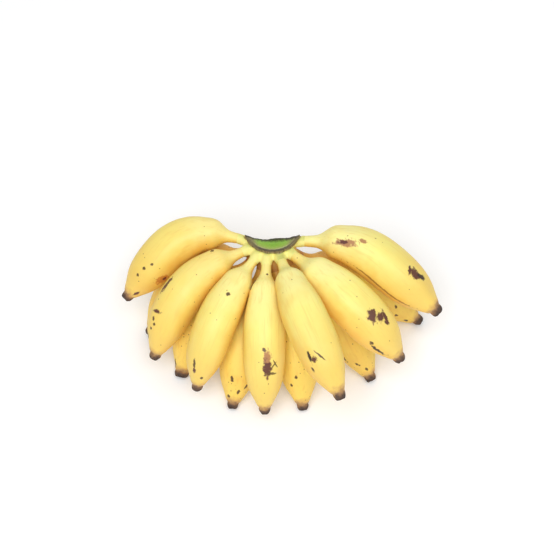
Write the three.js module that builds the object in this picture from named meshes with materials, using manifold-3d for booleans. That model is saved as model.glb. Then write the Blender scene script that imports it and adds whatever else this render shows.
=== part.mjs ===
// A hand of small dessert bananas: thirteen fingers in two rows that grow from one crown, the
// crescent of tissue left where the hand was cut off the main stalk of its bunch. The hand rests
// on the tips of its lower row with the crown raised, as it does when it is put down.
// Millimetres and degrees, +Z up. The fingers fan out towards -Y and the cut face looks up.

import * as THREE from 'three';
import { mergeVertices } from 'three/addons/utils/BufferGeometryUtils.js';
import Module from 'manifold-3d';

const wasm = await Module();
wasm.setup();

// Crown.
const CROWN_HEIGHT = 84;       // cut face above the surface that the tips rest on
const CROWN_RADIUS = 20.7;     // outer edge of the cut face
const CROWN_FOOT_RADIUS = 13;  // underside, where the crown tapers in below the stalks
const CROWN_DEPTH = 25;
const BARK_DEPTH = 4.6;        // upright band of dry bark under the cut face
const STALK_RADIUS = 41.7;     // main stalk of the bunch, which the back of the crown wrapped
const STALK_OFFSET = 32.2;     // its axis, behind the axis of the crown
const STALK_LEAN = 14;         // it leans back, so that the crown is thicker at its foot
const DISH_DEPTH = 1.2;        // the cut face dries to a shallow dish inside a raised rim
const RIM_WIDTH = 1.6;

// Where the two rows of fingers join the crown.
const UPPER_ROW = { drop: 9, reach: 18.7 };    // below the cut face, out from the crown's axis
const LOWER_ROW = { drop: 17.5, reach: 17 };

// Every finger: a thin stalk, a neck, a plump body and a blunt dried tip. Each pair is the share
// of the length, and the radius as a share of the finger's largest.
const FINGER_PROFILE = [
  [0, 0.18], [0.06, 0.235], [0.13, 0.27], [0.2, 0.5], [0.28, 0.77], [0.38, 0.93], [0.48, 0.99],
  [0.58, 1], [0.68, 0.975], [0.77, 0.88], [0.84, 0.71], [0.9, 0.49], [0.95, 0.33], [0.985, 0.27],
];
const TIP_SHARE = 0.18;
const FINGER_SIDES = 15;
const FINGER_RINGS = 24;
const RIDGES = 5;              // a banana is faintly five-sided
const RIDGE_HEIGHT = 0.022;    // as a share of the radius
const STEPS = 60;

// Clearance cut around each stalk where it enters the crown.
const SOCKET_GAP = 0.35;

// How each finger lies. Station is where it joins the crown, counted round from the front, and
// azimuth is the way it first points; sweep turns it sideways and droop turns it down. Bend is the
// stretch of the length over which it turns: before and after that it runs straight.
const FINGERS = [
  { name: 'finger_upper_1', row: UPPER_ROW, station: -76, azimuth: -103, sweep: 52, pitch: 2, droop: -36,
    length: 111, radius: 15.9, bend: [0.18, 0.6] },
  { name: 'finger_upper_2', row: UPPER_ROW, station: -53, azimuth: -64, sweep: 33, pitch: -5, droop: -43,
    length: 115, radius: 15.4, bend: [0.18, 0.75] },
  { name: 'finger_upper_3', row: UPPER_ROW, station: -31, azimuth: -33, sweep: 9, pitch: -6, droop: -50,
    length: 115, radius: 14.9, bend: [0.16, 0.82] },
  { name: 'finger_upper_4', row: UPPER_ROW, station: -12, azimuth: -3, sweep: 5, pitch: -9, droop: -49,
    length: 119, radius: 15.2, bend: [0.13, 0.86] },
  { name: 'finger_upper_5', row: UPPER_ROW, station: 15, azimuth: 16, sweep: 12, pitch: 12, droop: -43,
    length: 125, radius: 16, bend: [0.17, 0.84] },
  { name: 'finger_upper_6', row: UPPER_ROW, station: 38, azimuth: 46, sweep: 7, pitch: 3, droop: -45,
    length: 118, radius: 17.2, bend: [0.15, 0.88] },
  { name: 'finger_upper_7', row: UPPER_ROW, station: 74, azimuth: 83, sweep: -28, pitch: 8, droop: -31,
    length: 121, radius: 17.5, bend: [0.16, 0.55] },
  { name: 'finger_lower_1', row: LOWER_ROW, station: -64, azimuth: -102, sweep: 60, pitch: -31, droop: -6,
    length: 111, radius: 14.6, bend: [0.14, 0.68] },
  { name: 'finger_lower_2', row: LOWER_ROW, station: -42, azimuth: -63, sweep: 45, pitch: -35, droop: -2,
    length: 109, radius: 14.8, bend: [0.14, 0.88] },
  { name: 'finger_lower_3', row: LOWER_ROW, station: -21, azimuth: -19, sweep: 8, pitch: -38, droop: 6,
    length: 111, radius: 15.3, bend: [0.12, 0.83] },
  { name: 'finger_lower_4', row: LOWER_ROW, station: 1, azimuth: 21, sweep: -14, pitch: -32, droop: -6,
    length: 111, radius: 15, bend: [0.12, 0.86] },
  { name: 'finger_lower_5', row: LOWER_ROW, station: 25, azimuth: 59, sweep: -26, pitch: -30, droop: -8,
    length: 113, radius: 15.5, bend: [0.12, 0.82] },
  { name: 'finger_lower_6', row: LOWER_ROW, station: 56, azimuth: 93, sweep: -25, pitch: -36, droop: 7,
    length: 119, radius: 15.2, bend: [0.12, 0.79] },
];

const RIPE_YELLOW = 0xf7e07a;
const SHADED_YELLOW = 0xe8c35c;
const CUT_GREEN = 0x9aa657;

function material(color, roughness) {
  return new THREE.MeshStandardMaterial({ color, roughness, metalness: 0 });
}

// Position-only geometry with its shared vertices merged, ready for manifold-3d.
function weld(geometry) {
  const bare = geometry.clone();
  bare.deleteAttribute('normal');
  bare.deleteAttribute('uv');
  return mergeVertices(bare, 1e-3);
}

function toSolid(geometry) {
  const welded = weld(geometry);
  return new wasm.Manifold(new wasm.Mesh({
    numProp: 3,
    vertProperties: welded.attributes.position.array,
    triVerts: new Uint32Array(welded.index.array),
  }));
}

function toGeometry(solid) {
  const mesh = solid.getMesh();
  const geometry = new THREE.BufferGeometry();
  geometry.setAttribute('position', new THREE.BufferAttribute(new Float32Array(mesh.vertProperties), 3));
  geometry.setIndex(new THREE.BufferAttribute(new Uint32Array(mesh.triVerts), 1));
  geometry.computeVertexNormals();
  return geometry;
}

// A finger as a straight turned body along +Y, its stalk end at the origin. With a gap it grows
// by that much all round and past its stalk end.
function turnedFinger(finger, gap = 0) {
  const spline = new THREE.SplineCurve(FINGER_PROFILE.map(
    ([share, girth]) => new THREE.Vector2(girth * finger.radius + gap, share * finger.length)));
  const outline = spline.getPoints(FINGER_RINGS);
  outline[0].y -= gap;
  outline.push(new THREE.Vector2(TIP_SHARE * finger.radius + gap, finger.length));
  const onAxis = (point) => new THREE.Vector2(0, point.y);
  return new THREE.LatheGeometry([onAxis(outline[0]), ...outline, onAxis(outline.at(-1))], FINGER_SIDES);
}

// Frames along the middle of a finger, evenly spaced.
function centreLine(finger) {
  const station = THREE.MathUtils.degToRad(finger.station);
  const at = new THREE.Vector3(
    finger.row.reach * Math.sin(station), -finger.row.reach * Math.cos(station),
    CROWN_HEIGHT - finger.row.drop);
  const [bendStart, bendEnd] = finger.bend;
  const frames = [];
  for (let step = 0; step <= STEPS; step++) {
    const turned = THREE.MathUtils.clamp((step / STEPS - bendStart) / (bendEnd - bendStart), 0, 1);
    const heading = THREE.MathUtils.degToRad(finger.azimuth + turned * finger.sweep);
    const pitch = THREE.MathUtils.degToRad(finger.pitch + turned * finger.droop);
    const along = new THREE.Vector3(
      Math.sin(heading) * Math.cos(pitch), -Math.cos(heading) * Math.cos(pitch), Math.sin(pitch));
    const side = new THREE.Vector3(Math.cos(heading), Math.sin(heading), 0);
    frames.push({ at: at.clone(), side, under: side.clone().cross(along) });
    at.addScaledVector(along, finger.length / STEPS);
  }
  return frames;
}

// The turned body carried onto the finger's own curve, with faint ridges down its sides.
function fingerGeometry(finger, gap = 0) {
  const geometry = turnedFinger(finger, gap);
  const frames = centreLine(finger);
  const position = geometry.attributes.position;
  const point = new THREE.Vector3();
  for (let i = 0; i < position.count; i++) {
    point.fromBufferAttribute(position, i);
    const share = point.y / finger.length;
    const near = THREE.MathUtils.clamp(Math.floor(share * STEPS), 0, STEPS - 1);
    const between = share * STEPS - near;
    const blend = (key) => frames[near][key].clone().lerp(frames[near + 1][key], between);
    const around = Math.atan2(point.x, point.z);
    const ridge = 1 + RIDGE_HEIGHT * Math.cos(RIDGES * around) * Math.sin(Math.PI * share);
    const placed = blend('at')
      .addScaledVector(blend('side'), point.x * ridge)
      .addScaledVector(blend('under'), point.z * ridge);
    position.setXYZ(i, placed.x, placed.y, placed.z);
  }
  return geometry;
}

// The crown before its sockets: a tapered pad with a dished cut face, cut away behind by the
// round of the main stalk.
function crownSolid() {
  const foot = CROWN_HEIGHT - CROWN_DEPTH;
  const bark = CROWN_HEIGHT - BARK_DEPTH;
  const waist = new THREE.SplineCurve([
    new THREE.Vector2(CROWN_FOOT_RADIUS, foot), new THREE.Vector2(18, foot + 9),
    new THREE.Vector2(CROWN_RADIUS - 1, bark), new THREE.Vector2(CROWN_RADIUS, CROWN_HEIGHT - 1),
  ]).getPoints(8);
  const profile = [
    new THREE.Vector2(0, foot), ...waist,
    new THREE.Vector2(CROWN_RADIUS - 0.5, CROWN_HEIGHT),
    new THREE.Vector2(CROWN_RADIUS - RIM_WIDTH, CROWN_HEIGHT),
    new THREE.Vector2(CROWN_RADIUS - 2 * RIM_WIDTH, CROWN_HEIGHT - DISH_DEPTH),
    new THREE.Vector2(0, CROWN_HEIGHT - DISH_DEPTH),
  ];
  const pad = new THREE.LatheGeometry(profile, 48).rotateX(Math.PI / 2);
  const stalk = new THREE.CylinderGeometry(STALK_RADIUS, STALK_RADIUS, 4 * CROWN_DEPTH, 96)
    .rotateX(Math.PI / 2 + THREE.MathUtils.degToRad(STALK_LEAN))
    .translate(0, STALK_OFFSET, CROWN_HEIGHT);
  return toSolid(pad).subtract(toSolid(stalk));
}

function crownGeometry() {
  let crown = crownSolid();
  for (const finger of FINGERS) crown = crown.subtract(toSolid(fingerGeometry(finger, SOCKET_GAP)));
  return toGeometry(crown);
}

const hand = new THREE.Group();

const crown = new THREE.Mesh(crownGeometry(), material(CUT_GREEN, 0.75));
crown.name = 'crown';
hand.add(crown);

for (const finger of FINGERS) {
  const colour = finger.row === UPPER_ROW ? RIPE_YELLOW : SHADED_YELLOW;
  const mesh = new THREE.Mesh(fingerGeometry(finger), material(colour, 0.5));
  mesh.name = finger.name;
  hand.add(mesh);
}

// The origin is under the middle of the hand, on the surface that it rests on.
const box = new THREE.Box3().setFromObject(hand, true);
const middle = box.getCenter(new THREE.Vector3());
hand.position.set(-middle.x, -middle.y, -box.min.z);

export default hand;
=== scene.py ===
"""Looks of a hand of small ripe bananas.

Thirteen fingers grow in two rows from one crown, the crescent of tissue left where the hand was cut
off the main stalk of its bunch. The hand rests on the tips of its lower row. Each finger gets a
plump skin with faint ridges and a dried tip, and the crown gets its webs, bark and cut face.
"""

import logging
import math
from dataclasses import dataclass
from enum import Enum

import bmesh
import bpy
import numpy as np
from mathutils import Matrix, Vector, noise


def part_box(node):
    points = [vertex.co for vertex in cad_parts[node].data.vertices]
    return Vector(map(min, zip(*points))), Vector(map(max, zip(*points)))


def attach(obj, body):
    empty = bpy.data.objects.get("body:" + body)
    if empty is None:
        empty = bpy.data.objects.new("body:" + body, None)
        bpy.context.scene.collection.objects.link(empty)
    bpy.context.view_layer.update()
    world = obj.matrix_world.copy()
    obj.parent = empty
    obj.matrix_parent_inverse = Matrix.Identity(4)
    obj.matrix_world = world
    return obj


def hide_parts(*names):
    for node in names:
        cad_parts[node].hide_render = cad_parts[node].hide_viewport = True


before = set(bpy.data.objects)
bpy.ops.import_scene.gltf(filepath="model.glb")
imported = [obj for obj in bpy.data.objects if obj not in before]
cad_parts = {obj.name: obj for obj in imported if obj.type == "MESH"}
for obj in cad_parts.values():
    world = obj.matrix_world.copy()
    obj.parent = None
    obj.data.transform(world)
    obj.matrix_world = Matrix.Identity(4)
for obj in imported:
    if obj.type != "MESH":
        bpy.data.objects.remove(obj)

LOG = logging.getLogger("banana_hand")
MM = 0.001
BODY = "root"
STRAIGHT = "straight"    # where a point of the skin lies on the finger laid out straight
SHARE = "share"          # how far along the finger a point is, from 0 at the stalk to 1 at the tip
CUT = "cut"              # 1 on the crown's cut face
EDGE = "edge"            # distance in from the outer rim of the cut face, in metres
BACK = "back"            # distance in from its back edge, in metres
BARK = "bark"            # 1 on the crown's band of dry bark


class Row(Enum):
    """The two rows of fingers, with the word that their CAD nodes use."""

    UPPER = "upper"
    LOWER = "lower"


class Mark(Enum):
    """Kinds of mark on the peel, each with its colour and how far it covers the yellow."""

    BRUISE = ("#5c2f2a", 0.97)
    STAIN = ("#a8704c", 0.90)
    BLUSH = ("#bf6526", 0.75)
    SCAR = ("#3a231c", 0.98)
    SPECK = ("#543c24", 0.95)
    SCRATCH = ("#66502a", 0.90)
    CREASE = ("#94602a", 0.80)


def linear(colour: str) -> tuple[float, float, float, float]:
    """Turn an sRGB hex colour into the linear colour that shaders take.

    Args:
        colour: "#rrggbb".

    Returns:
        Red, green, blue and alpha.
    """
    parts = [int(colour[i:i + 2], 16) / 255 for i in (1, 3, 5)]
    bent = [c / 12.92 if c <= 0.04045 else ((c + 0.055) / 1.055) ** 2.4 for c in parts]
    return (*bent, 1.0)


def per_mm(size: float) -> float:
    """Find the texture scale of a pattern.

    Args:
        size: width of one feature, in mm.

    Returns:
        The scale for a pattern laid out in metres.
    """
    return 1 / (size * MM)


def add_node(tree: bpy.types.NodeTree, kind: str, links: dict | None = None, **settings) -> bpy.types.Node:
    """Add a node with its settings and links.

    Args:
        tree: the node tree.
        kind: the node's type name.
        links: input name or number, to an output socket or a plain value.
        **settings: the node's own properties.

    Returns:
        The new node.
    """
    node = tree.nodes.new(kind)
    for name, value in settings.items():
        setattr(node, name, value)
    for socket, source in (links or {}).items():
        if isinstance(source, bpy.types.NodeSocket):
            tree.links.new(source, node.inputs[socket])
        else:
            node.inputs[socket].default_value = source
    return node


def ramp(tree: bpy.types.NodeTree, factor: bpy.types.NodeSocket, stops: list[tuple[float, str]]):
    """Add a colour ramp.

    Args:
        tree: the node tree.
        factor: what drives it.
        stops: place and sRGB hex colour of each stop, in order.

    Returns:
        Its colour output.
    """
    node = add_node(tree, "ShaderNodeValToRGB", {"Fac": factor})
    elements = node.color_ramp.elements
    while len(elements) < len(stops):
        elements.new(0.5)
    for element, (place, colour) in zip(elements, stops):
        element.position = place
        element.color = linear(colour)
    return node.outputs["Color"]


def span(tree: bpy.types.NodeTree, value, low: float, high: float, to_low: float = 0.0, to_high: float = 1.0):
    """Map a value from one range to another, with soft ends.

    Args:
        tree: the node tree.
        value: output socket to map.
        low: input that gives to_low.
        high: input that gives to_high.
        to_low: output at low.
        to_high: output at high.

    Returns:
        The mapped output.
    """
    links = {"Value": value, "From Min": low, "From Max": high, "To Min": to_low, "To Max": to_high}
    return add_node(tree, "ShaderNodeMapRange", links, interpolation_type="SMOOTHSTEP").outputs["Result"]


def maths(tree: bpy.types.NodeTree, operation: str, first, second=0.0):
    """Combine two values.

    Args:
        tree: the node tree.
        operation: such as "ADD".
        first: an output socket or a number.
        second: the same.

    Returns:
        The result's output.
    """
    return add_node(tree, "ShaderNodeMath", {0: first, 1: second}, operation=operation).outputs[0]


def vector_maths(tree: bpy.types.NodeTree, operation: str, first, second=(0, 0, 0)):
    """Combine two vectors.

    Args:
        tree: the node tree.
        operation: such as "ADD".
        first: an output socket or a vector.
        second: the same.

    Returns:
        The result's output.
    """
    return add_node(tree, "ShaderNodeVectorMath", {0: first, 1: second}, operation=operation).outputs[0]


def paint(tree: bpy.types.NodeTree, factor, under, over):
    """Lay one colour over another.

    Args:
        tree: the node tree.
        factor: how much of the upper colour shows.
        under: colour below.
        over: colour above, a socket or a linear colour.

    Returns:
        The mixed colour.
    """
    links = {0: factor, 6: under, 7: over}
    return add_node(tree, "ShaderNodeMix", links, data_type="RGBA", clamp_factor=True).outputs[2]


def grain(tree: bpy.types.NodeTree, vector, size: float, detail: float = 2.0, output: str = "Fac"):
    """Add a noise.

    Args:
        tree: the node tree.
        vector: where it is read.
        size: width of its features, in mm.
        detail: how many finer layers it has.
        output: "Fac" or "Color".

    Returns:
        The output.
    """
    links = {"Vector": vector, "Scale": per_mm(size), "Detail": detail}
    return add_node(tree, "ShaderNodeTexNoise", links).outputs[output]


def attribute(tree: bpy.types.NodeTree, name: str, output: str = "Fac"):
    """Read a mesh attribute.

    Args:
        tree: the node tree.
        name: the attribute's name.
        output: "Fac" for a number, "Vector" for a vector.

    Returns:
        The output.
    """
    return add_node(tree, "ShaderNodeAttribute", attribute_name=name).outputs[output]


def new_material(name: str) -> tuple[bpy.types.Material, bpy.types.NodeTree, bpy.types.Node]:
    """Make a material with an empty Principled shader.

    Args:
        name: the finish's name.

    Returns:
        The material, its tree and its shader node.
    """
    material = bpy.data.materials.new(name)
    material.use_nodes = True
    tree = material.node_tree
    return material, tree, tree.nodes["Principled BSDF"]


def deselect_all() -> None:
    """Leave nothing selected."""
    if bpy.context.object and bpy.context.object.mode != "OBJECT":
        bpy.ops.object.mode_set(mode="OBJECT")
    bpy.ops.object.select_all(action="DESELECT")


def select_only(piece: bpy.types.Object) -> None:
    """Make one object the only selected and active one.

    Args:
        piece: the object.
    """
    deselect_all()
    piece.select_set(True)
    bpy.context.view_layer.objects.active = piece


def apply_modifier(piece: bpy.types.Object, kind: str, **settings) -> None:
    """Add a modifier, set it up and apply it.

    Args:
        piece: the object.
        kind: the modifier's type.
        **settings: its properties.
    """
    select_only(piece)
    modifier = piece.modifiers.new(kind.lower(), kind)
    for name, value in settings.items():
        setattr(modifier, name, value)
    bpy.ops.object.modifier_apply(modifier=modifier.name)


def copy_of_node(node: str, name: str) -> bpy.types.Object:
    """Copy a CAD node as a merged mesh of quads, ready to model.

    Args:
        node: the CAD node.
        name: name of the copy.

    Returns:
        The copy, which rides on nothing yet.
    """
    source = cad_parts[node]
    piece = bpy.data.objects.new(name, source.data.copy())
    bpy.context.scene.collection.objects.link(piece)
    piece.data.materials.clear()
    select_only(piece)
    bpy.ops.object.mode_set(mode="EDIT")
    bpy.ops.mesh.select_all(action="SELECT")
    bpy.ops.mesh.remove_doubles(threshold=0.01 * MM)
    bpy.ops.mesh.customdata_custom_splitnormals_clear()
    bpy.ops.mesh.tris_convert_to_quads(face_threshold=math.radians(60), shape_threshold=math.radians(60))
    bpy.ops.object.mode_set(mode="OBJECT")
    return piece


def read_points(mesh: bpy.types.Mesh) -> np.ndarray:
    """Read the points of a mesh.

    Args:
        mesh: the mesh.

    Returns:
        One row for each point, in metres.
    """
    points = np.empty(len(mesh.vertices) * 3, np.float32)
    mesh.vertices.foreach_get("co", points)
    return points.reshape(-1, 3).astype(float)


def write_points(mesh: bpy.types.Mesh, points: np.ndarray) -> None:
    """Move the points of a mesh.

    Args:
        mesh: the mesh.
        points: one row for each point, in metres.
    """
    mesh.vertices.foreach_set("co", points.astype(np.float32).ravel())
    mesh.update()


def write_attribute(mesh: bpy.types.Mesh, name: str, values: np.ndarray) -> None:
    """Store one number or one vector for each point.

    Args:
        mesh: the mesh.
        name: the attribute's name.
        values: one row or number for each point.
    """
    is_vector = values.ndim == 2
    layer = mesh.attributes.new(name, "FLOAT_VECTOR" if is_vector else "FLOAT", "POINT")
    layer.data.foreach_set("vector" if is_vector else "value", values.astype(np.float32).ravel())


def smoothstep(values: np.ndarray, low: float, high: float) -> np.ndarray:
    """Rise softly from 0 to 1.

    Args:
        values: numbers to map.
        low: below it the result is 0.
        high: above it the result is 1.

    Returns:
        One number for each value.
    """
    share = np.clip((values - low) / (high - low), 0, 1)
    return share * share * (3 - 2 * share)


def ripple(points: np.ndarray, size: float, seed: float) -> np.ndarray:
    """Smooth noise between about -1 and 1 at each point.

    Args:
        points: rows, in metres.
        size: width of one lump, in metres.
        seed: shifts the pattern, so that no two fingers are alike.

    Returns:
        One number a point.
    """
    shift = Vector((seed, 2 * seed, 3 * seed))
    return np.array([noise.noise(Vector(row) / size + shift) for row in points])


class CentreLine:
    """The curve down the middle of a finger, with the sideways and upward direction at each ring."""

    def __init__(self, cage: bpy.types.Mesh, root: Vector) -> None:
        """Find the rings of a turned finger and their centres.

        Args:
            cage: the finger's merged mesh, rings between two poles.
            root: a point near the stalk end.
        """
        rings = self._rings(cage, root)
        self.centres = np.array([ring.mean(0) for ring in rings])
        steps = np.linalg.norm(np.diff(self.centres, axis=0), axis=1)
        self.along = np.concatenate([[0], np.cumsum(steps)])
        self.length = float(self.along[-1])
        ahead = np.gradient(self.centres, self.along, axis=0)
        self.ahead = ahead / np.linalg.norm(ahead, axis=1)[:, None]
        side = np.stack([-self.ahead[:, 1], self.ahead[:, 0], np.zeros(len(rings))], axis=1)
        self.side = side / np.linalg.norm(side, axis=1)[:, None]
        self.top = np.cross(self.ahead, self.side)

    @staticmethod
    def _rings(cage: bpy.types.Mesh, root: Vector) -> list[np.ndarray]:
        """Walk over the cage from the stalk's pole and collect its rings.

        Args:
            cage: the finger's merged mesh.
            root: a point near the stalk end.

        Returns:
            The points of each ring, from the stalk to the tip.
        """
        shape = bmesh.new()
        shape.from_mesh(cage)
        most = max(len(v.link_edges) for v in shape.verts)
        poles = [v for v in shape.verts if len(v.link_edges) == most]
        layer = {min(poles, key=lambda v: (v.co - root).length)}
        seen, rings = set(layer), []
        while layer:
            layer = {e.other_vert(v) for v in layer for e in v.link_edges} - seen
            seen |= layer
            if len(layer) > 1:
                rings.append(np.array([v.co[:] for v in layer]))
        shape.free()
        return rings

    def _at(self, along: np.ndarray, rows: np.ndarray) -> np.ndarray:
        """Read rows kept for each ring at places between the rings.

        Args:
            along: distances from the stalk end.
            rows: one row for each ring.

        Returns:
            One row for each distance.
        """
        return np.stack([np.interp(along, self.along, rows[:, k]) for k in range(3)], axis=1)

    def straighten(self, points: np.ndarray) -> np.ndarray:
        """Lay points of the bent finger out along +Y, with +Z as its top.

        Args:
            points: rows in the row frame.

        Returns:
            Rows on the straight finger.
        """
        fine = np.linspace(0, self.length, 240)
        centres = self._at(fine, self.centres)
        nearest = np.array([((centres - p) ** 2).sum(1).argmin() for p in points])
        along = fine[nearest]
        out = points - centres[nearest]
        parts = [self._at(along, rows) for rows in (self.side, self.ahead, self.top)]
        straight = np.stack([(out * rows).sum(1) for rows in parts], axis=1)
        straight[:, 1] += along
        return straight

    def bend(self, straight: np.ndarray) -> np.ndarray:
        """Carry points of the straight finger back onto the curve.

        Args:
            straight: rows on the straight finger.

        Returns:
            Rows in the row frame.
        """
        along = np.clip(straight[:, 1], 0, self.length)
        past = straight[:, 1] - along
        amounts = (straight[:, 0], past, straight[:, 2])
        rows = (self.side, self.ahead, self.top)
        offsets = sum(a[:, None] * self._at(along, r) for a, r in zip(amounts, rows))
        return self._at(along, self.centres) + offsets


@dataclass(frozen=True)
class Blemish:
    """A mark on a finger's peel.

    Attributes:
        finger: the finger's name.
        along: how far from the stalk end, in mm.
        around: how far round from the top, in degrees, towards the finger's +X side.
        length: size along the finger, in mm.
        width: size across, in mm.
        mark: what it looks like.
        turn: how far it is turned on the skin, in degrees.
    """

    finger: str
    along: float
    around: float
    length: float
    width: float
    mark: Mark
    turn: float = 0.0


BLEMISHES = (
    Blemish("upper_1", 75, 25, 1.8, 1.6, Mark.SPECK),
    Blemish("upper_1", 81, 15, 2.2, 1.8, Mark.SPECK),
    Blemish("upper_1", 88, 11, 1.8, 1.8, Mark.SPECK),
    Blemish("upper_1", 80, 80, 9, 6, Mark.BLUSH, 20),
    Blemish("upper_1", 78, 84, 2.4, 2, Mark.BRUISE),
    Blemish("upper_1", 101, 60, 5, 2, Mark.BRUISE, 10),
    Blemish("upper_2", 62, -36, 11, 3.6, Mark.BRUISE, 8),
    Blemish("upper_2", 78, -20, 2, 6.5, Mark.BRUISE, -12),
    Blemish("upper_2", 83, -22, 2.4, 2, Mark.SPECK),
    Blemish("upper_2", 86, -14, 2.2, 2, Mark.SPECK),
    Blemish("upper_2", 90, -24, 2, 1.6, Mark.SPECK),
    Blemish("upper_2", 97, -42, 4, 1.6, Mark.SCAR),
    Blemish("upper_2", 27, -33, 2, 4, Mark.SPECK, 25),
    Blemish("upper_3", 41, 11, 2.4, 2.2, Mark.SPECK),
    Blemish("upper_3", 90, -10, 6, 1.8, Mark.SPECK, -8),
    Blemish("upper_3", 95, -7, 3.6, 2.2, Mark.BRUISE),
    Blemish("upper_3", 100, 28, 2, 2, Mark.SPECK),
    Blemish("upper_4", 74, 9, 9, 4.5, Mark.STAIN, 6),
    Blemish("upper_4", 81, 9, 10, 5.5, Mark.BRUISE, -8),
    Blemish("upper_4", 84, 22, 1.4, 7, Mark.SCRATCH, 8),
    Blemish("upper_4", 79, 27, 0.9, 6, Mark.SCRATCH, -40),
    Blemish("upper_4", 78, 33, 5, 0.9, Mark.SCRATCH, -35),
    Blemish("upper_4", 69, 1, 2.6, 2.4, Mark.SPECK),
    Blemish("upper_4", 17, 13, 1.6, 1.4, Mark.SPECK),
    Blemish("upper_4", 25, -64, 7, 2.6, Mark.SCAR, 15),
    Blemish("upper_5", 90, -48, 7, 2.2, Mark.SCAR, 10),
    Blemish("upper_5", 93, -40, 4, 3, Mark.BRUISE, 40),
    Blemish("upper_5", 92, -21, 7, 1.1, Mark.SPECK, -30),
    Blemish("upper_5", 98, -62, 3, 2, Mark.SPECK),
    Blemish("upper_6", 77, -12, 8, 6, Mark.BRUISE, 50),
    Blemish("upper_6", 81, 2, 4, 6, Mark.BRUISE, -20),
    Blemish("upper_6", 83, 14, 8, 2.4, Mark.BRUISE, 20),
    Blemish("upper_6", 86, 4, 3, 2, Mark.BRUISE),
    Blemish("upper_6", 90, -64, 2.4, 2, Mark.SPECK),
    Blemish("upper_6", 97, -73, 12, 2, Mark.SCAR, 4),
    Blemish("upper_7", 78, -82, 64, 1.4, Mark.CREASE),
    Blemish("upper_7", 37, -30, 14, 5, Mark.STAIN, -12),
    Blemish("upper_7", 35, -30, 6, 2.4, Mark.BRUISE, -12),
    Blemish("upper_7", 47, -11, 4, 3, Mark.STAIN),
    Blemish("upper_7", 87, 6, 8, 6, Mark.BRUISE, 30),
    Blemish("upper_7", 92, 14, 6, 4, Mark.SCAR, -30),
    Blemish("upper_7", 83, 0, 6, 2, Mark.BRUISE, 60),
    Blemish("lower_6", 97, -68, 2.2, 2, Mark.SPECK),
    Blemish("lower_6", 107, -80, 3, 2, Mark.SCAR),
    Blemish("lower_4", 85, -17, 2.2, 2, Mark.SPECK),
    Blemish("lower_4", 91, -41, 2.2, 2, Mark.SPECK),
    Blemish("lower_4", 94, 78, 6, 2, Mark.SCAR),
    Blemish("lower_3", 89, -10, 4, 2, Mark.SPECK),
    Blemish("lower_3", 98, 24, 2.4, 1.6, Mark.SPECK),
    Blemish("lower_3", 93, 48, 5, 1.4, Mark.SPECK, 20),
    Blemish("lower_3", 102, -30, 2, 2, Mark.SPECK),
    Blemish("lower_2", 99, -52, 6, 2, Mark.SCAR, 10),
    Blemish("lower_5", 86, -78, 10, 2, Mark.SCAR),
    Blemish("lower_5", 95, -46, 4, 1.4, Mark.SPECK, -30),
    Blemish("lower_5", 102, -20, 2.2, 1.8, Mark.SPECK),
    Blemish("lower_6", 92, -40, 3, 2, Mark.SPECK, 30),
)


@dataclass(frozen=True)
class SkinFinish:
    """Ripe banana peel: a smooth waxy skin over fine fibres that run from stalk to tip.

    The wax gives a broad soft sheen, the fibres faint streaks, and the tip is dry and woody. The
    colours run along the finger from the green of the stalk to the grey-brown of the tip. The paler
    neck is partly painted light near the crown, the deeper orange end is partly painted shade, and the
    side colour is painted shade on the flanks and underside.
    """

    name: str
    slot: str
    stalk: str
    neck: str
    body: str
    side: str
    # painted shade colour for the flanks and underside of the peel
    end: str
    blush: str
    fibre: str
    roughness: float

    def stops(self) -> list[tuple[float, str]]:
        """Colours along the finger, from stalk to tip."""
        return [
            # The paler neck is partly painted light near the crown, and the deeper orange end is partly
            # painted shade on the half towards the tip; the browns from 0.94 on are the dried tip's own
            # colour.
            (0.0, self.stalk), (0.12, self.neck), (0.3, self.neck), (0.48, self.body), (0.82, self.end),
            (0.91, self.end),
            (0.94, "#cfa35c"), (0.957, "#94714f"), (0.972, "#5f493b"), (1.0, "#3b2e28"),
        ]


UPPER_FINISH = SkinFinish("ripe_banana_peel", "ripe_skin", "#e8e288", "#f8ee9a", "#f5e884", "#edbd50",
                          "#eecd68", "#f2d268", "#e6c162", 0.44)
# Lower row: a second copy of the peel for the row that lies in shade. Its stalk and neck are painted dark
# orange-brown as shade in the gaps between the fingers, and its body is painted brighter to make up for the
# shade; its deeper golden tone is partly its own colour.
LOWER_FINISH = SkinFinish("golden_banana_peel_painted_shade", "golden_skin", "#b57c38", "#dcab50", "#fdea78", "#f6d05e",
                          "#f4d264", "#eebc52", "#e0b252", 0.5)


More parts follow.
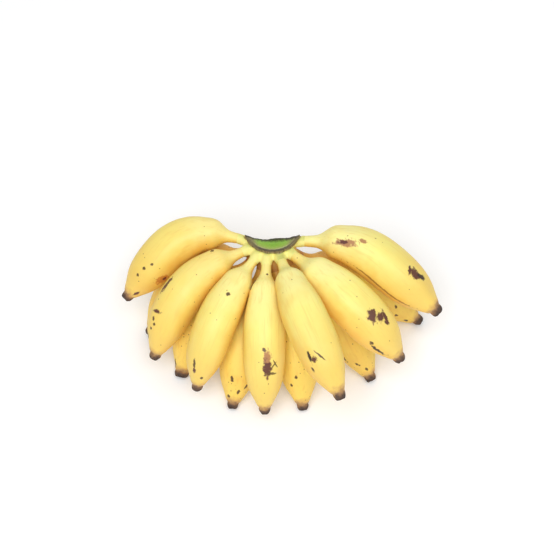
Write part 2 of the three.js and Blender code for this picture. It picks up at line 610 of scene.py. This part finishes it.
@dataclass
class Finger:
    """One banana: its skin, sculpted on the straight finger and carried onto its curve.

    Attributes:
        name: row and number, such as "upper_3".
        finish: its peel.
        seed: makes its lumps and freckles its own.
        ridge: height of its five ridges, as a share of the radius.
        nub: how wide its dried tip is, against an even one.
        freckles: how much of the peel carries small specks.
        painted_shade: how far its whole peel is painted towards the side colour, as painted shade.
        turn: where its ridges lie round it, in degrees.
        levels: how often its cage is subdivided.
        fullness: makes up for what subdivision rounds away, as a share of the radius.
        shoulder: extra swelling where the stalk grows into the body, as a share of the radius.
        lump: height of its unevenness.
        lump_size: width of one lump.
        tip_start: share of the length at which the dried tip starts.
    """

    name: str
    finish: SkinFinish
    seed: float
    ridge: float = 0.012
    nub: float = 0.9
    freckles: float = 0.08
    painted_shade: float = 0.0
    turn: float = 0.0
    levels: int = 3
    fullness: float = 0.035
    shoulder: float = 0.24
    lump: float = 0.35 * MM
    lump_size: float = 24 * MM
    tip_start: float = 0.955

    @property
    def node(self) -> str:
        """The CAD node that this finger stands for."""
        return f"finger_{self.name}"

    def build(self, root: Vector) -> bpy.types.Object:
        """Model the skin, dress it and put it in place of its CAD node.

        Args:
            root: the middle of the crown, which the stalk end is near.

        Returns:
            The finished skin.
        """
        piece = copy_of_node(self.node, f"banana_{self.name}")
        self.line = CentreLine(piece.data, root)
        apply_modifier(piece, "SUBSURF", levels=self.levels, render_levels=self.levels)
        straight = self._sculpt(self.line.straighten(read_points(piece.data)))
        write_points(piece.data, self.line.bend(straight))
        write_attribute(piece.data, STRAIGHT, straight)
        write_attribute(piece.data, SHARE, np.clip(straight[:, 1] / self.line.length, 0, 1))
        select_only(piece)
        bpy.ops.object.shade_smooth()
        piece.data.materials.append(self._peel(straight))
        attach(piece, BODY)
        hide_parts(self.node)
        LOG.info("%s: %.0f mm long, %d faces", piece.name, self.line.length / MM, len(piece.data.polygons))
        return piece

    def _sculpt(self, straight: np.ndarray) -> np.ndarray:
        """Plump the finger, raise its ridges, and dry and pinch its tip.

        Args:
            straight: points of the straight finger.

        Returns:
            The moved points.
        """
        share = straight[:, 1] / self.line.length
        around = np.arctan2(straight[:, 0], straight[:, 2])
        radius = np.hypot(straight[:, 0], straight[:, 2])
        plump = smoothstep(share, 0.1, 0.3) * (1 - smoothstep(share, 0.86, 0.95))
        scale = 1 + self.fullness - self.ridge * np.cos(5 * (around - math.radians(self.turn))) * plump
        scale += self.shoulder * np.exp(-((share - 0.205) / 0.05) ** 2)
        scale += self.lump * ripple(straight, self.lump_size, self.seed) * plump / np.maximum(radius, MM)
        dry = smoothstep(share, self.tip_start - 0.012, self.tip_start + 0.008)
        scale *= 1 + (self.nub - 1) * smoothstep(share, 0.92, 0.97)
        scale *= 1 - 0.09 * np.exp(-((share - self.tip_start) / 0.008) ** 2)
        crinkle = ripple(straight * [1, 0.4, 1], 2.2 * MM, self.seed + 7)
        scale += dry * crinkle * 0.5 * MM / np.maximum(radius, 2 * MM)
        moved = straight * np.stack([scale, np.ones_like(scale), scale], axis=1)
        hollow = dry * smoothstep(share, 0.985, 1.0) * (1 - smoothstep(radius, 0, 3 * MM))
        moved[:, 1] += dry * ripple(straight, 3 * MM, self.seed + 3) * 0.5 * MM - hollow * 1.1 * MM
        return moved

    def _spot(self, straight: np.ndarray, blemish: Blemish) -> Vector:
        """Find where a blemish sits on the straight finger's surface.

        Args:
            straight: points of the straight finger.
            blemish: the mark.

        Returns:
            Its middle.
        """
        around = math.radians(blemish.around)
        along = blemish.along * MM
        angles = np.arctan2(straight[:, 0], straight[:, 2])
        off = np.abs(np.angle(np.exp(1j * (angles - around)))) * 10 * MM + np.abs(straight[:, 1] - along)
        row = straight[off.argmin()]
        radius = math.hypot(row[0], row[2])
        return Vector((radius * math.sin(around), along, radius * math.cos(around)))

    def _peel(self, straight: np.ndarray) -> bpy.types.Material:
        """Make the peel's material.

        Args:
            straight: points of the finished straight finger.

        Returns:
            The material, with this finger's own blemishes.
        """
        material, tree, shader = new_material(f"{self.finish.name}_{self.name}")
        place = attribute(tree, STRAIGHT, "Vector")
        shift = vector_maths(tree, "ADD", place, (self.seed, self.seed, 0))
        ragged = span(tree, grain(tree, shift, 3.5, 3), 0, 1, -0.018, 0.018)
        share = maths(tree, "ADD", attribute(tree, SHARE), ragged)
        colour = ramp(tree, share, self.finish.stops())
        on_flesh = span(tree, share, 0.92, 0.95, 1, 0)
        # Painted shade: the side colour is laid over the flanks and underside of the peel, leaving the top
        # pale, and some fingers also get it over their whole peel.
        outward = vector_maths(tree, "MULTIPLY", place, (1, 0, 1))
        outward = vector_maths(tree, "NORMALIZE", outward)
        height = add_node(tree, "ShaderNodeSeparateXYZ", {"Vector": outward}).outputs["Z"]
        height = maths(tree, "ADD", height, span(tree, grain(tree, shift, 12), 0, 1, -0.3, 0.3))
        deeper = maths(tree, "MULTIPLY", on_flesh, self.painted_shade)
        colour = paint(tree, deeper, colour, linear(self.finish.side))
        painted_side_shade = maths(tree, "MULTIPLY", span(tree, height, -0.1, 0.95, 0.95, 0), on_flesh)
        colour = paint(tree, painted_side_shade, colour, linear(self.finish.side))
        mottle = span(tree, grain(tree, shift, 20), 0.42, 0.72, 0, 0.45)
        colour = paint(tree, maths(tree, "MULTIPLY", mottle, on_flesh), colour, linear(self.finish.blush))
        drawn = add_node(tree, "ShaderNodeMapping", {"Vector": shift, "Scale": (1, 0.08, 1)}).outputs[0]
        fibres = grain(tree, drawn, 1.6, 3)
        streak = maths(tree, "MULTIPLY", span(tree, fibres, 0.5, 0.75, 0, 0.35), on_flesh)
        colour = paint(tree, streak, colour, linear(self.finish.fibre))
        colour = self._freckle(tree, shift, on_flesh, colour)
        scabs = []
        for blemish in (b for b in BLEMISHES if b.finger == self.name):
            mask = self._stain(tree, place, straight, blemish)
            colour = paint(tree, mask, colour, linear(blemish.mark.value[0]))
            scabs.append(mask)
        tree.links.new(colour, shader.inputs["Base Color"])
        self._relief(tree, shader, shift, share, fibres, scabs)
        shader.inputs["Subsurface Weight"].default_value = 0.12
        shader.inputs["Subsurface Radius"].default_value = (1.0, 0.6, 0.2)
        shader.inputs["Subsurface Scale"].default_value = 2 * MM
        shader.inputs["IOR"].default_value = 1.44
        return material

    def _freckle(self, tree: bpy.types.NodeTree, place, on_flesh, colour):
        """Scatter small sugar specks over the peel.

        Args:
            tree: the node tree.
            place: coordinates on the straight finger.
            on_flesh: 1 on the peel and 0 on the tip.
            colour: colour so far.

        Returns:
            The colour with its specks.
        """
        cells = add_node(tree, "ShaderNodeTexVoronoi", {"Vector": place, "Scale": per_mm(3.2)})
        near = span(tree, cells.outputs["Distance"], 0.08, 0.2, 0.8, 0)
        lot = add_node(tree, "ShaderNodeSeparateColor", {"Color": cells.outputs["Color"]}).outputs[0]
        picked = maths(tree, "GREATER_THAN", lot, 1 - self.freckles)
        mask = maths(tree, "MULTIPLY", maths(tree, "MULTIPLY", near, picked), on_flesh)
        return paint(tree, mask, colour, linear("#8a6a34"))

    def _stain(self, tree: bpy.types.NodeTree, place, straight: np.ndarray, blemish: Blemish):
        """Mask of one blemish, with a ragged edge.

        Args:
            tree: the node tree.
            place: coordinates on the straight finger.
            straight: the finger's points.
            blemish: the mark.

        Returns:
            The mask, up to how far the mark covers the yellow.
        """
        turned = Matrix.Rotation(math.radians(blemish.around), 3, "Y")
        turned = turned @ Matrix.Rotation(math.radians(blemish.turn), 3, "Z")
        half = Vector((blemish.width, blemish.length, 12)) * MM * 0.6
        links = {"Vector": place, "Location": self._spot(straight, blemish), "Rotation": turned.to_euler(),
                 "Scale": half}
        local = add_node(tree, "ShaderNodeMapping", links, vector_type="TEXTURE").outputs[0]
        torn = grain(tree, place, 2.2, 3, "Color")
        torn = vector_maths(tree, "SUBTRACT", torn, (0.5, 0.5, 0.5))
        torn = add_node(tree, "ShaderNodeVectorMath", {0: torn, 3: 1.9}, operation="SCALE").outputs[0]
        local = vector_maths(tree, "ADD", local, torn)
        reach = add_node(tree, "ShaderNodeVectorMath", {0: local}, operation="LENGTH").outputs["Value"]
        return span(tree, reach, 0.7, 1.2, blemish.mark.value[1], 0)

    def _relief(self, tree: bpy.types.NodeTree, shader, place, share, fibres, scabs: list) -> None:
        """Give the peel its sheen and its fine relief.

        Args:
            tree: the node tree.
            shader: the Principled shader.
            place: coordinates on the straight finger.
            share: how far along the finger.
            fibres: the pattern of the fibres.
            scabs: masks of the blemishes, which lie a little below the peel.
        """
        dry = span(tree, share, 0.94, 0.965)
        uneven = span(tree, grain(tree, place, 6), 0.3, 0.7, self.finish.roughness - 0.05,
                      self.finish.roughness + 0.06)
        rough = maths(tree, "ADD", uneven, maths(tree, "MULTIPLY", dry, 0.35))
        tree.links.new(rough, shader.inputs["Roughness"])
        pores = grain(tree, place, 0.9, 2)
        pores = maths(tree, "MULTIPLY", pores, 0.25)
        height = maths(tree, "ADD", maths(tree, "MULTIPLY", fibres, 0.5), pores)
        crust = maths(tree, "MULTIPLY", grain(tree, place, 1.1, 4), maths(tree, "MULTIPLY", dry, 3.0))
        height = maths(tree, "ADD", height, crust)
        for scab in scabs:
            height = maths(tree, "SUBTRACT", height, maths(tree, "MULTIPLY", scab, 0.8))
        bump = add_node(tree, "ShaderNodeBump", {"Height": height, "Strength": 0.35, "Distance": 0.25 * MM})
        tree.links.new(bump.outputs[0], shader.inputs["Normal"])


@dataclass
class Crown:
    """The crown: a tapered pad with a cut face, cut away behind by the round of the main stalk.

    Attributes:
        radius: outer edge of the cut face.
        foot_radius: its underside.
        bark_depth: upright band of dry bark.
        stalk_radius: the bunch's main stalk, which the back wrapped round.
        stalk_offset: how far behind the crown's axis the main stalk's axis is.
        stalk_lean: how far the main stalk leans, in degrees.
        stub: how much of each finger's stalk is grown into the crown.
        spare: height above the cut, sliced off after the webs are smoothed.
        rough_voxel: grid of the remesh that joins pad and stalks.
        fine_voxel: grid of the remesh after the cuts.
        dish: depth of the cut face inside its rim.
    """

    radius: float = 20.7 * MM
    foot_radius: float = 13 * MM
    bark_depth: float = 3.4 * MM
    stalk_radius: float = 41.7 * MM
    stalk_offset: float = 32.2 * MM
    stalk_lean: float = 14.0
    stub: float = 15 * MM
    spare: float = 3 * MM
    rough_voxel: float = 0.8 * MM
    fine_voxel: float = 0.5 * MM
    dish: float = 1.1 * MM

    def __post_init__(self) -> None:
        """Find the crown's place in the frame."""
        low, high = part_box("crown")
        self.top = high.z
        self.foot = low.z
        self.axis = Vector(((low.x + high.x) / 2, low.y + self.radius, 0))

    @property
    def middle(self) -> Vector:
        """A point inside the crown, from which the stalks start."""
        return self.axis + Vector((0, 0, (self.top + self.foot) / 2))

    def build(self, hand: list[Finger]) -> bpy.types.Object:
        """Model the crown with the roots of the stalks, dress it and put it in place of its node.

        Args:
            hand: the fingers, already built.

        Returns:
            The finished crown.
        """
        piece = self._pad()
        stubs = [self._stub(finger) for finger in hand]
        select_only(piece)
        for stub in stubs:
            stub.select_set(True)
        bpy.ops.object.join()
        apply_modifier(piece, "REMESH", mode="VOXEL", voxel_size=self.rough_voxel)
        growth = piece.vertex_groups.new(name="growth")
        bark = self.top - self.bark_depth
        heights = read_points(piece.data)[:, 2]
        for index, weight in enumerate(smoothstep(bark - heights, 0, 2 * MM)):
            growth.add([index], float(weight), "REPLACE")
        apply_modifier(piece, "SMOOTH", factor=0.5, iterations=8, vertex_group="growth")
        self._slice(piece)
        apply_modifier(piece, "REMESH", mode="VOXEL", voxel_size=self.fine_voxel)
        self._finish_face(piece)
        select_only(piece)
        bpy.ops.object.shade_smooth()
        piece.data.materials.append(crown_material())
        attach(piece, BODY)
        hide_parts("crown")
        LOG.info("%s: %d faces", piece.name, len(piece.data.polygons))
        return piece

    def _pad(self) -> bpy.types.Object:
        """The tapered pad, a little taller than the crown."""
        deselect_all()
        depth = self.bark_depth + self.spare
        bottom = self.top - self.bark_depth
        levels = [(5.5 * MM, 17.5 * MM), (9 * MM, 15.5 * MM), (self.top - self.foot, self.foot_radius)]
        bpy.ops.mesh.primitive_cylinder_add(vertices=96, radius=self.radius, depth=depth,
                                            location=self.axis + Vector((0, 0, bottom + depth / 2)))
        piece = bpy.context.object
        piece.name = "banana_crown"
        bpy.ops.object.transform_apply(location=True)
        bpy.ops.object.mode_set(mode="EDIT")
        bpy.ops.mesh.select_mode(type="FACE")
        self._select_faces(piece, lambda face: face.normal.z < -0.9)
        depth, wide = self.bark_depth, self.radius
        for deeper, narrow in levels:
            bpy.ops.mesh.extrude_region_move(TRANSFORM_OT_translate={"value": (0, 0, depth - deeper)})
            centre = self.axis + Vector((0, 0, self.top - deeper))
            bpy.ops.transform.resize(value=(narrow / wide, narrow / wide, 1), center_override=centre)
            depth, wide = deeper, narrow
        bpy.ops.object.mode_set(mode="OBJECT")
        return piece

    @staticmethod
    def _select_faces(piece: bpy.types.Object, wanted) -> None:
        """Select the faces that a test picks, in edit mode.

        Args:
            piece: the object.
            wanted: tells whether a face is picked.
        """
        bpy.ops.mesh.select_all(action="DESELECT")
        shape = bmesh.from_edit_mesh(piece.data)
        for face in shape.faces:
            face.select_set(wanted(face))
        bmesh.update_edit_mesh(piece.data)

    def _stub(self, finger: Finger) -> bpy.types.Object:
        """The root of a stalk, wide at the crown and just inside the finger's skin at its far end.

        Args:
            finger: the finger, already built.

        Returns:
            A closed piece to join to the pad.
        """
        piece = copy_of_node(finger.node, f"stub_{finger.name}")
        straight = finger.line.straighten(read_points(piece.data))
        share = np.clip(straight[:, 1] / self.stub, 0, 1)
        radius = np.hypot(straight[:, 0], straight[:, 2])
        wanted = (5.0 - 1.1 * smoothstep(share, 0, 0.5) - 1.5 * smoothstep(share, 0.45, 1)) * MM
        scale = np.where(radius > MM, wanted / np.maximum(radius, MM), 1)
        straight[:, 0] *= scale
        straight[:, 2] *= scale
        straight[:, 1] = np.minimum(straight[:, 1], self.stub)
        straight[:, 1] -= 5 * MM * (1 - smoothstep(share, 0, 0.3))
        write_points(piece.data, finger.line.bend(straight))
        select_only(piece)
        bpy.ops.object.mode_set(mode="EDIT")
        bpy.ops.mesh.select_all(action="SELECT")
        bpy.ops.mesh.remove_doubles(threshold=0.05 * MM)
        bpy.ops.object.mode_set(mode="OBJECT")
        return piece

    def _slice(self, piece: bpy.types.Object) -> None:
        """Cut the flat face on top and the round of the main stalk behind.

        Args:
            piece: the crown, with its webs smoothed.
        """
        select_only(piece)
        bpy.ops.object.mode_set(mode="EDIT")
        bpy.ops.mesh.select_all(action="SELECT")
        bpy.ops.mesh.bisect(plane_co=(0, 0, self.top), plane_no=(0, 0, 1), use_fill=True, clear_outer=True)
        bpy.ops.object.mode_set(mode="OBJECT")
        deselect_all()
        centre = self.axis + Vector((0, self.stalk_offset, self.top))
        lean = math.radians(self.stalk_lean)
        bpy.ops.mesh.primitive_cylinder_add(vertices=128, radius=self.stalk_radius, depth=0.12,
                                            location=centre, rotation=(lean, 0, 0))
        cutter = bpy.context.object
        bpy.ops.object.transform_apply(location=True, rotation=True)
        apply_modifier(piece, "BOOLEAN", operation="DIFFERENCE", object=cutter, solver="EXACT")
        bpy.data.objects.remove(cutter)

    def _finish_face(self, piece: bpy.types.Object) -> None:
        """Hollow the cut face inside its rim, tear its back edge and mark face and bark.

        Args:
            piece: the sliced crown.
        """
        points = read_points(piece.data)
        flat = points[:, :2] - np.array(self.axis[:2])
        outer = self.radius - np.hypot(flat[:, 0], flat[:, 1])
        back = (flat[:, 1] - self.stalk_offset) * math.cos(math.radians(self.stalk_lean))
        behind = np.hypot(flat[:, 0], back) - self.stalk_radius
        rim = np.maximum(np.minimum(outer, behind), 0)
        on_top = smoothstep(points[:, 2], self.top - 1.2 * MM, self.top - 0.3 * MM)
        torn = ripple(points * [1, 1, 0], 3.4 * MM, 5)
        points[:, 2] -= on_top * self.dish * smoothstep(rim, 0.8 * MM, 2.6 * MM)
        flap = np.exp(-((flat[:, 0] - 4 * MM) / (7 * MM)) ** 2)
        points[:, 2] += on_top * np.exp(-(behind / (0.9 * MM)) ** 2) * (0.2 + 1.1 * torn + 2.2 * flap) * MM
        edge_of_bark = self.top - self.bark_depth
        band = smoothstep(points[:, 2], edge_of_bark - 0.6 * MM, edge_of_bark + 0.4 * MM)
        band *= 1 - smoothstep(-outer, 0.5 * MM, 1.3 * MM)
        outward = flat / np.maximum(np.hypot(flat[:, 0], flat[:, 1]), MM)[:, None]
        folds = ripple(points * [1, 1, 0.25], 1.4 * MM, 9)
        points[:, :2] += outward * (band * (1 - on_top) * folds * 0.25 * MM)[:, None]
        write_points(piece.data, points)
        write_attribute(piece.data, CUT, on_top * (1 - smoothstep(-outer, 0.3 * MM, 1.0 * MM)))
        write_attribute(piece.data, EDGE, outer)
        write_attribute(piece.data, BACK, behind + 5 * MM * smoothstep(-outer, 0.3 * MM, 1.2 * MM))
        write_attribute(piece.data, BARK, band)


def crown_material() -> bpy.types.Material:
    """Cut banana crown: moist green tissue, a pale rim, dry grey-brown bark and green-yellow roots whose
    lower ends are painted dark orange-brown as shade between the fingers.

    The tissue is matt and fibrous, the bark is rough and cracked, and the roots have the wax of the
    fingers.

    Returns:
        The material.
    """
    material, tree, shader = new_material("cut_banana_crown")
    place = add_node(tree, "ShaderNodeTexCoord").outputs["Object"]
    low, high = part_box("crown")
    ragged = span(tree, grain(tree, place, 1.6, 3), 0, 1, -0.7 * MM, 0.7 * MM)
    edge = maths(tree, "ADD", attribute(tree, EDGE), ragged)
    back = maths(tree, "ADD", attribute(tree, BACK), ragged)
    face = ramp(tree, span(tree, edge, 0, 8 * MM), [
        (0.0, "#4f4432"), (0.14, "#74694b"), (0.22, "#c2bf8c"), (0.3, "#98a553"), (0.6, "#8aad40"),
        (1.0, "#7daa34")])
    fleck = span(tree, grain(tree, place, 0.9, 3), 0.55, 0.75, 0, 0.35)
    face = paint(tree, fleck, face, linear("#b3bc78"))
    apart = add_node(tree, "ShaderNodeSeparateXYZ", {"Vector": place}).outputs["X"]
    apart = maths(tree, "ABSOLUTE", maths(tree, "SUBTRACT", apart, (low.x + high.x) / 2))
    face = paint(tree, span(tree, maths(tree, "ADD", apart, ragged), 9 * MM, 15 * MM, 0, 0.8), face,
                 linear("#7a6f4a"))
    face = paint(tree, span(tree, back, 0.5 * MM, 2.2 * MM, 0.95, 0), face, linear("#352b20"))
    drawn = add_node(tree, "ShaderNodeMapping", {"Vector": place, "Scale": (1, 1, 0.2)}).outputs[0]
    cracks = grain(tree, drawn, 1.1, 4)
    bark = ramp(tree, cracks, [(0.3, "#4b4030"), (0.5, "#86765a"), (0.72, "#a89a78")])
    height = add_node(tree, "ShaderNodeSeparateXYZ", {"Vector": place}).outputs["Z"]
    # Painted shade: the roots of the stalks darken to orange-brown towards their lower ends, in the gaps
    # between the fingers.
    root = ramp(tree, span(tree, height, high.z - 20 * MM, high.z - 3.3 * MM), [
        (0.0, "#b57c38"), (0.25, "#d9ab52"), (0.6, "#f1e48a"), (0.75, "#f4eb92"), (0.96, "#f0e98e"),
        (1.0, "#c6ca6e")])
    colour = paint(tree, attribute(tree, BARK), root, bark)
    torn = ramp(tree, cracks, [(0.3, "#6d5633"), (0.5, "#a48f57"), (0.72, "#c5bb80")])
    colour = paint(tree, span(tree, attribute(tree, BACK), 0.4 * MM, 1.2 * MM, 1, 0), colour, torn)
    colour = paint(tree, attribute(tree, CUT), colour, face)
    tree.links.new(colour, shader.inputs["Base Color"])
    shader.inputs["Roughness"].default_value = 0.62
    shader.inputs["Subsurface Weight"].default_value = 0.08
    shader.inputs["Subsurface Scale"].default_value = 2 * MM
    relief = maths(tree, "ADD", cracks, grain(tree, place, 0.7, 3))
    bump = add_node(tree, "ShaderNodeBump", {"Height": relief, "Strength": 0.6, "Distance": 0.4 * MM})
    tree.links.new(bump.outputs[0], shader.inputs["Normal"])
    return material


@dataclass(frozen=True)
class Lamp:
    """A soft square lamp that points at the hand.

    Attributes:
        name: its name.
        place: where it hangs.
        size: its side, in metres.
        power: in watts.
    """

    name: str
    place: tuple[float, float, float]
    size: float
    power: float

    def build(self) -> None:
        """Hang the lamp."""
        data = bpy.data.lights.new(self.name, "AREA")
        data.size = self.size
        data.energy = self.power
        lamp = bpy.data.objects.new(self.name, data)
        lamp.location = self.place
        lamp.rotation_euler = (-Vector(self.place)).to_track_quat("-Z", "Y").to_euler()
        bpy.context.scene.collection.objects.link(lamp)


LAMPS = (
    Lamp("key", (-0.2, -0.85, 1.45), 1.2, 19.5),
    Lamp("fill", (0.9, -0.5, 1.2), 1.2, 4),
    Lamp("back", (0.1, 1.2, 1.1), 1.0, 3),
)


@dataclass
class Studio:
    """A plain white table under soft light, seen from the front and above.

    Attributes:
        aim: point that the camera looks at.
        elevation: height of the view above the horizon, in degrees.
        distance: from the aim to the camera.
        lens: focal length in mm on a 36 mm sensor.
        sky: strength of the even white sky.
        glow: strength of the light table under the paper.
    """

    aim: tuple[float, float, float] = (-3 * MM, 68 * MM, 7 * MM)
    elevation: float = 55.0
    distance: float = 1.4
    lens: float = 119.7
    sky: float = 0.43
    glow: float = 0.08

    def build(self) -> None:
        """Make the floor, the light and the camera."""
        self._floor()
        self._world()
        for lamp in LAMPS:
            lamp.build()
        self._camera()

    def _floor(self) -> None:
        """A wide white floor under the hand."""
        deselect_all()
        bpy.ops.mesh.primitive_plane_add(size=8)
        floor = bpy.context.object
        floor.name = "floor"
        material, _, shader = new_material("white_paper")
        shader.inputs["Base Color"].default_value = linear("#f9fafb")
        shader.inputs["Roughness"].default_value = 0.9
        shader.inputs["Emission Color"].default_value = (1, 1, 1, 1)
        shader.inputs["Emission Strength"].default_value = self.glow
        floor.data.materials.append(material)

    def _world(self) -> None:
        """An even white sky."""
        world = bpy.data.worlds.new("studio")
        world.use_nodes = True
        background = world.node_tree.nodes["Background"]
        background.inputs["Color"].default_value = (1, 1, 1, 1)
        background.inputs["Strength"].default_value = self.sky
        bpy.context.scene.world = world
        bpy.context.scene.view_settings.view_transform = "Standard"

    def _camera(self) -> None:
        """Add the camera, level and looking down at the aim."""
        data = bpy.data.cameras.new("camera")
        data.lens = self.lens
        data.sensor_width = 36
        camera = bpy.data.objects.new("camera", data)
        tilt = math.radians(self.elevation)
        back = Vector((0, -math.cos(tilt), math.sin(tilt))) * self.distance
        camera.location = Vector(self.aim) + back
        camera.rotation_euler = (math.pi / 2 - tilt, 0, 0)
        bpy.context.scene.collection.objects.link(camera)
        bpy.context.scene.camera = camera


def fingers() -> list[Finger]:
    """All thirteen fingers, left to right in each row."""
    upper = [Finger(f"{Row.UPPER.value}_{k}", UPPER_FINISH, seed=1.7 * k) for k in range(1, 8)]
    lower = [Finger(f"{Row.LOWER.value}_{k}", LOWER_FINISH, seed=20 + 2.3 * k) for k in range(1, 7)]
    # Painted shade: the three left upper fingers get some of the side colour over their whole peel.
    upper[0].painted_shade = 0.25
    upper[1].painted_shade = 0.3
    upper[2].painted_shade = 0.1
    for number, finger in enumerate(upper + lower):
        finger.turn = 17.0 * number
    upper[6].ridge = 0.035
    upper[6].turn = 26.0
    lower[1].nub = 1.2
    for finger in lower:
        finger.freckles = 0.4
    return upper + lower


def main() -> None:
    """Build every piece around the frame and report it."""
    logging.basicConfig(level=logging.INFO, format="%(name)s: %(message)s")
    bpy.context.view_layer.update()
    crown = Crown()
    hand = fingers()
    for finger in hand:
        finger.build(crown.middle)
    crown.build(hand)
    Studio().build()


if __name__ == "__main__":
    main()
